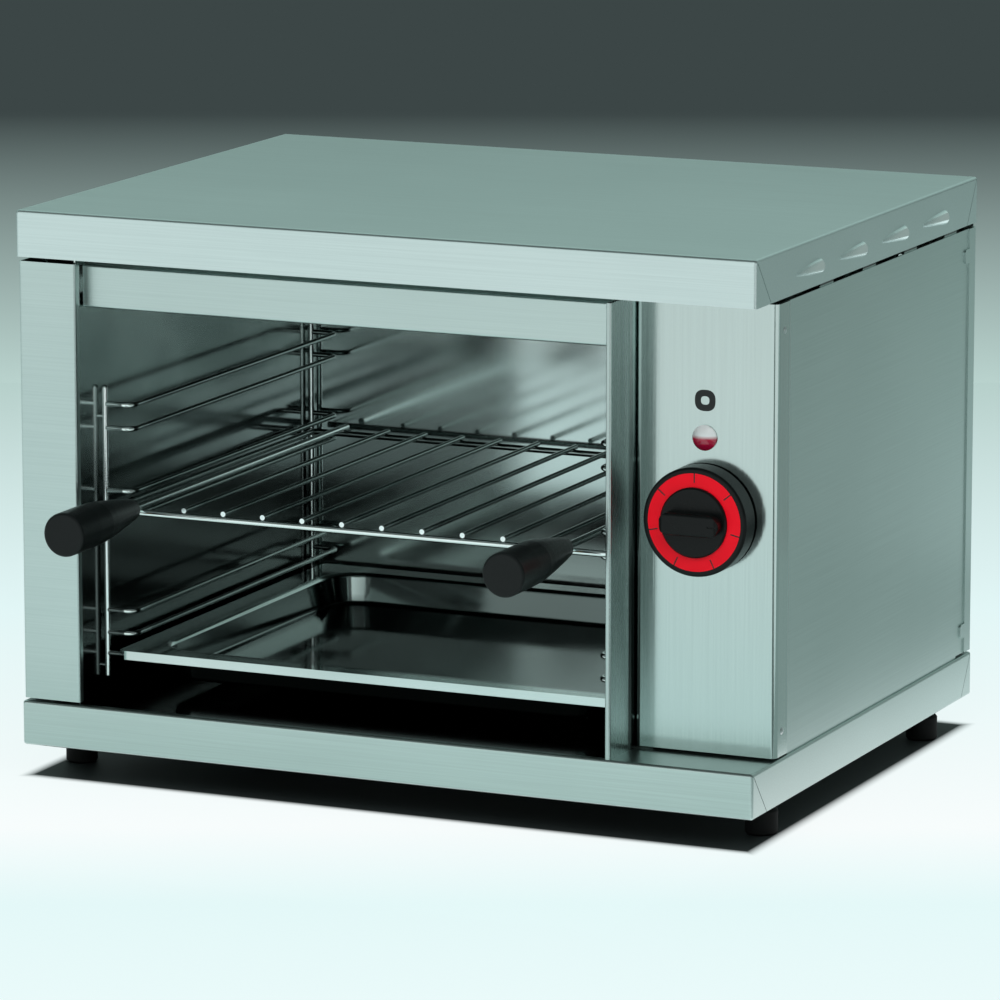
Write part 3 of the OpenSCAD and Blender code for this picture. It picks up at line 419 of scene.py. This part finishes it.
FINISH_OF_NODE = {
    "top_cover": steel_cover,
    "base_pan": steel_base,
    "left_side_panel": steel_left,
    "right_side_panel": steel_side,
    "control_panel": steel_panel,
    "divider_blade": steel_blade,
    "cavity_left_wall": wall_steel,
    "cavity_right_wall": wall_steel,
    "heat_reflector": sooty_steel,
    "left_runners": runner_wire,
    "right_runners": runner_wire,
    "rack_frame": rack_wire,
    "rack_wires": rack_wire,
    "rack_rear_bar": rack_wire,
    "drip_tray": tray_steel,
}


def wear(piece, material):
    piece.data.materials.clear()
    piece.data.materials.append(material)


for subpart in frame["record"]["subparts"]:
    node = subpart["node"]
    slot_finish = FINISH_OF_SLOT[subpart["material_slot"]]
    wear(frame["nodes"][node], FINISH_OF_NODE.get(node, slot_finish))

# ------------------------------------------------------------------ marks on the panel and the dial

ZERO_WIDTH = 14.6 * MM
ZERO_HEIGHT = 14.2 * MM
ZERO_STROKE = 4.3 * MM
ZERO_SQUARENESS = 2.6
ZERO_STEPS = 64
ZERO_ABOVE_LENS = 24.8 * MM
INK_THICKNESS = 0.08 * MM

GROOVES = 7
GROOVE_WIDTH = 1.0 * MM
GROOVE_INNER_END = 0.76
GROOVE_FLOOR = 0.38 * MM
PAINT_THICKNESS = 0.25 * MM
PAINT_CLEARANCE = 0.05 * MM


def new_piece(name, mesh, material, body):
    """Makes an object of a bmesh, gives it a finish and fastens it to a body."""
    data = bpy.data.meshes.new(name)
    mesh.to_mesh(data)
    mesh.free()
    piece = bpy.data.objects.new(name, data)
    bpy.context.scene.collection.objects.link(piece)
    wear(piece, material)
    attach(piece, body)
    return piece


def rounded(value):
    """A circle's sine or cosine, pushed outwards for an oval with squarer shoulders."""
    return math.copysign(abs(value) ** (2 / ZERO_SQUARENESS), value)


def printed_zero():
    """The band between two rounded ovals, standing in the XZ plane."""
    mesh = bmesh.new()
    rows = []
    edges = ((0, 0), (0, -INK_THICKNESS), (ZERO_STROKE, -INK_THICKNESS), (ZERO_STROKE, 0))
    for inset, depth in edges:
        row = []
        for step in range(ZERO_STEPS):
            angle = 2 * math.pi * step / ZERO_STEPS
            x = (ZERO_WIDTH / 2 - inset) * rounded(math.cos(angle))
            z = (ZERO_HEIGHT / 2 - inset) * rounded(math.sin(angle))
            row.append(mesh.verts.new((x, depth, z)))
        rows.append(row)
    for index, row in enumerate(rows):
        after = rows[(index + 1) % len(rows)]
        for step in range(ZERO_STEPS):
            turn = (step + 1) % ZERO_STEPS
            mesh.faces.new((row[step], row[turn], after[turn], after[step]))
    bmesh.ops.recalc_face_normals(mesh, faces=mesh.faces)
    return mesh


def groove_paint():
    """Dark paint in the dial's grooves, as one mesh of bars round the dial's centre."""
    mesh = bmesh.new()
    half = GROOVE_WIDTH / 2 - PAINT_CLEARANCE
    inner, outer = dial_radius * GROOVE_INNER_END, dial_radius
    outline = ((inner, -half), (inner, half), (outer, half), (outer, -half))
    for step in range(GROOVES):
        angle = 2 * math.pi * step / GROOVES
        along = Vector((math.sin(angle), 0, math.cos(angle)))
        across = Vector((math.cos(angle), 0, -math.sin(angle)))
        corners = []
        for depth in (GROOVE_FLOOR, GROOVE_FLOOR - PAINT_THICKNESS):
            for reach, side in outline:
                point = along * reach + across * side + Vector((0, depth, 0))
                corners.append(mesh.verts.new(point))
        floor, face = corners[:4], corners[4:]
        mesh.faces.new(floor)
        mesh.faces.new(face[::-1])
        for first in range(4):
            second = (first + 1) % 4
            mesh.faces.new((floor[first], face[first], face[second], floor[second]))
    bmesh.ops.recalc_face_normals(mesh, faces=mesh.faces)
    return mesh


zero = new_piece("printed_zero", printed_zero(), print_ink, "casing")
zero.location = (lens_centre.x, panel_front_y, lens_centre.z + ZERO_ABOVE_LENS)
ticks = new_piece("dial_ticks", groove_paint(), print_ink, "knob")
ticks.location = (dial_centre.x, dial_low.y, dial_centre.z)

# ------------------------------------------------------------------ stage

# The camera's turn and its tilt down, in radians. The backdrop stands square to the way it
# looks: AWAY is that way along the floor, and ALONG runs along the backdrop.
LOOK_TURN = 0.422
LOOK_DOWN = 0.193
AWAY = Vector((-math.sin(LOOK_TURN), math.cos(LOOK_TURN), 0))
ALONG = Vector((math.cos(LOOK_TURN), math.sin(LOOK_TURN), 0))

FLOOR_DEPTH = 8
BACKDROP_AWAY = 1.5
BACKDROP_HALF_WIDTH = 7
BACKDROP_HEIGHT = 5

# Display colours of the studio, and the places where its light fades from one to the next:
# heights up the backdrop, and distances along the floor from the object's middle.
PALE_GREEN = (185, 210, 205)
MIDDLE_GREEN = (130, 150, 145)
DARK_GREEN = (60, 70, 70)
NEAR_WHITE = (250, 255, 255)
PALE_ICE = (230, 250, 250)
BACKDROP_FADES = (
    (0.0, PALE_GREEN),
    (0.25, DARK_GREEN),
    (0.45, DARK_GREEN),
    (0.6, MIDDLE_GREEN),
    (1.2, PALE_GREEN),
)
FLOOR_FADES = (
    (-1.3, NEAR_WHITE),
    (-0.4, PALE_ICE),
    (-0.2, NEAR_WHITE),
    (0.5, PALE_ICE),
    (BACKDROP_AWAY, PALE_GREEN),
)

# How much of the floor's colour is seen as written, whatever the light on it, and the painted shadow
# colour right under the object, which fades out across the base pan's outline.
FLOOR_GLOW = 0.92
PAINTED_SHADOW_UNDER_OBJECT = (40, 46, 46)
SHADE_INSIDE = -6 * MM
SHADE_OUTSIDE = 4 * MM


def stage_piece(name, corners, material):
    data = bpy.data.meshes.new(name)
    data.from_pydata(corners, [], [tuple(range(len(corners)))])
    piece = bpy.data.objects.new(name, data)
    bpy.context.scene.collection.objects.link(piece)
    data.materials.append(material)
    return piece


def ramp(shading, value, fades):
    """A colour ramp through (place, display colour) pairs."""
    low, high = fades[0][0], fades[-1][0]
    stops = [((place - low) / (high - low), srgb(*colour)) for place, colour in fades]
    inputs = {"Fac": shading.span(value, low, high)}
    return shading.add("ShaderNodeValToRGB", {"stops": stops}, inputs)


def one_sided(shading, surface):
    """Leaves the surface clear when it is seen from behind."""
    clear = shading.add("ShaderNodeBsdfTransparent")
    behind = shading.add("ShaderNodeNewGeometry", output="Backfacing")
    return shading.add("ShaderNodeMixShader", inputs={0: behind, 1: surface, 2: clear})


def backdrop_finish():
    """A wall with a dark band low down, seen as written, and clear when seen from behind."""
    material = bpy.data.materials.new("studio_backdrop")
    wall = Shading(material)
    glow = wall.glow(ramp(wall, wall.axis("Z"), BACKDROP_FADES))
    wall.show(one_sided(wall, glow))
    return material


def outside_outline(shading):
    """0 under the object and 1 beside it, fading across the base pan's outline."""
    middle, half = (base_low + base_high) / 2, (base_high - base_low) / 2
    beside = abs(shading.axis("X") - middle.x) - half.x
    before = abs(shading.axis("Y") - middle.y) - half.y
    return shading.span(beside.most(before), SHADE_INSIDE, SHADE_OUTSIDE)


def floor_finish():
    """A pale floor that camera, mirrors and glass see nearly as written, but not under the object.

    There it is painted a dark shadow colour and lit as any surface, so it shows a painted shadow as
    well as the object's own shadow.
    """
    finish = Finish("studio_floor")
    open_floor = outside_outline(finish)
    distance = finish.axis("X") * AWAY.x + finish.axis("Y") * AWAY.y
    colour = ramp(finish, distance, FLOOR_FADES)
    # Painted shadow: the floor is coloured dark under the object.
    shaded = finish.between(srgb(*PAINTED_SHADOW_UNDER_OBJECT), colour, open_floor)
    finish.set(base_color=shaded, roughness=0.6, metallic=0.0)
    seen = finish.add("ShaderNodeLightPath", output="Is Camera Ray")
    for ray in ("Is Glossy Ray", "Is Transmission Ray"):
        seen = seen.most(finish.add("ShaderNodeLightPath", output=ray))
    share = open_floor * seen * FLOOR_GLOW
    inputs = {0: share, 1: finish.lit, 2: finish.glow(colour)}
    finish.show(one_sided(finish, finish.add("ShaderNodeMixShader", inputs=inputs)))
    return finish.material


left_end = AWAY * BACKDROP_AWAY - ALONG * BACKDROP_HALF_WIDTH
right_end = AWAY * BACKDROP_AWAY + ALONG * BACKDROP_HALF_WIDTH
forward = AWAY * -FLOOR_DEPTH
up = Vector((0, 0, BACKDROP_HEIGHT))
stage_piece("floor", [left_end + forward, right_end + forward, right_end, left_end], floor_finish())
stage_piece("backdrop", [left_end, right_end, right_end + up, left_end + up], backdrop_finish())

# ------------------------------------------------------------------ cards

# Cards show in reflections alone: they light nothing, shade nothing and the camera misses them.
CARD_LIFT = 2 * MM


def card(name, corners, colour):
    """A flat card, mirrored in its display colour as written."""
    material = bpy.data.materials.new(name)
    paper = Shading(material)
    paper.show(paper.glow(srgb(*colour)))
    piece = stage_piece(name, corners, material)
    piece.visible_camera = False
    piece.visible_diffuse = False
    piece.visible_shadow = False


def wall_card(name, left, right, y, height, colour):
    card(name, [(left, y, 0), (right, y, 0), (right, y, height), (left, y, height)], colour)


def floor_card(name, outline, colour):
    card(name, [(x, y, CARD_LIFT) for x, y in outline], colour)


def rectangle(left, right, front, back):
    return (left, front), (right, front), (right, back), (left, back)


wall_card("rear_card", left=0.5, right=2.4, y=0.75, height=1.6, colour=(142, 157, 154))
wall_card("front_card", left=-5, right=3.5, y=-4.9, height=2.6, colour=(236, 250, 248))
floor_card(
    "side_card",
    rectangle(left=base_high.x + 90 * MM, right=2.4, front=-0.3, back=0.75),
    colour=(150, 168, 165),
)
floor_card(
    "corner_card",
    ((0.34, -2.6), (1.25, -2.6), (0.6, -0.31), (0.34, -0.31)),
    colour=(108, 122, 119),
)
floor_card(
    "step_card",
    rectangle(left=-0.6, right=0.26, front=-0.4, back=base_low.y - 12 * MM),
    colour=(202, 223, 220),
)

# ------------------------------------------------------------------ lamp, air and camera


def soft_lamp(name, place, target, size, watts):
    """A square lamp that isn't mirrored, or it would burn out the cover's top from behind."""
    data = bpy.data.lights.new(name, "AREA")
    data.size = size
    data.energy = watts
    lamp = bpy.data.objects.new(name, data)
    lamp.location = place
    aim = Vector(target) - Vector(place)
    lamp.rotation_euler = aim.to_track_quat("-Z", "Y").to_euler()
    lamp.visible_glossy = False
    bpy.context.scene.collection.objects.link(lamp)


def studio_air():
    """Faint light from all round; past the stage, the camera sees a plain grey-green."""
    world = bpy.data.worlds.new("studio_air")
    air = Shading(world, "ShaderNodeOutputWorld")
    light_inputs = {"Color": (0.80, 0.93, 0.91, 1), "Strength": 0.14}
    light = air.add("ShaderNodeBackground", inputs=light_inputs)
    seen_inputs = {"Color": (*srgb(150, 170, 167), 1), "Strength": 1.0}
    seen = air.add("ShaderNodeBackground", inputs=seen_inputs)
    camera_ray = air.add("ShaderNodeLightPath", output="Is Camera Ray")
    air.show(air.add("ShaderNodeMixShader", inputs={0: camera_ray, 1: light, 2: seen}))
    return world


def studio_camera():
    data = bpy.data.cameras.new("camera")
    data.lens = 233.56
    data.sensor_width = 36
    data.clip_end = 30
    camera = bpy.data.objects.new("camera", data)
    camera.location = (1.808, -4.0057, 1.0418)
    camera.rotation_euler = (math.pi / 2 - LOOK_DOWN, 0, LOOK_TURN)
    bpy.context.scene.collection.objects.link(camera)
    return camera


soft_lamp("key_lamp", place=(0.78, -1.3, 2.3), target=(0, 0, 0.15), size=3.0, watts=68)
bpy.context.scene.world = studio_air()
bpy.context.scene.camera = studio_camera()
bpy.context.scene.view_settings.view_transform = "Standard"
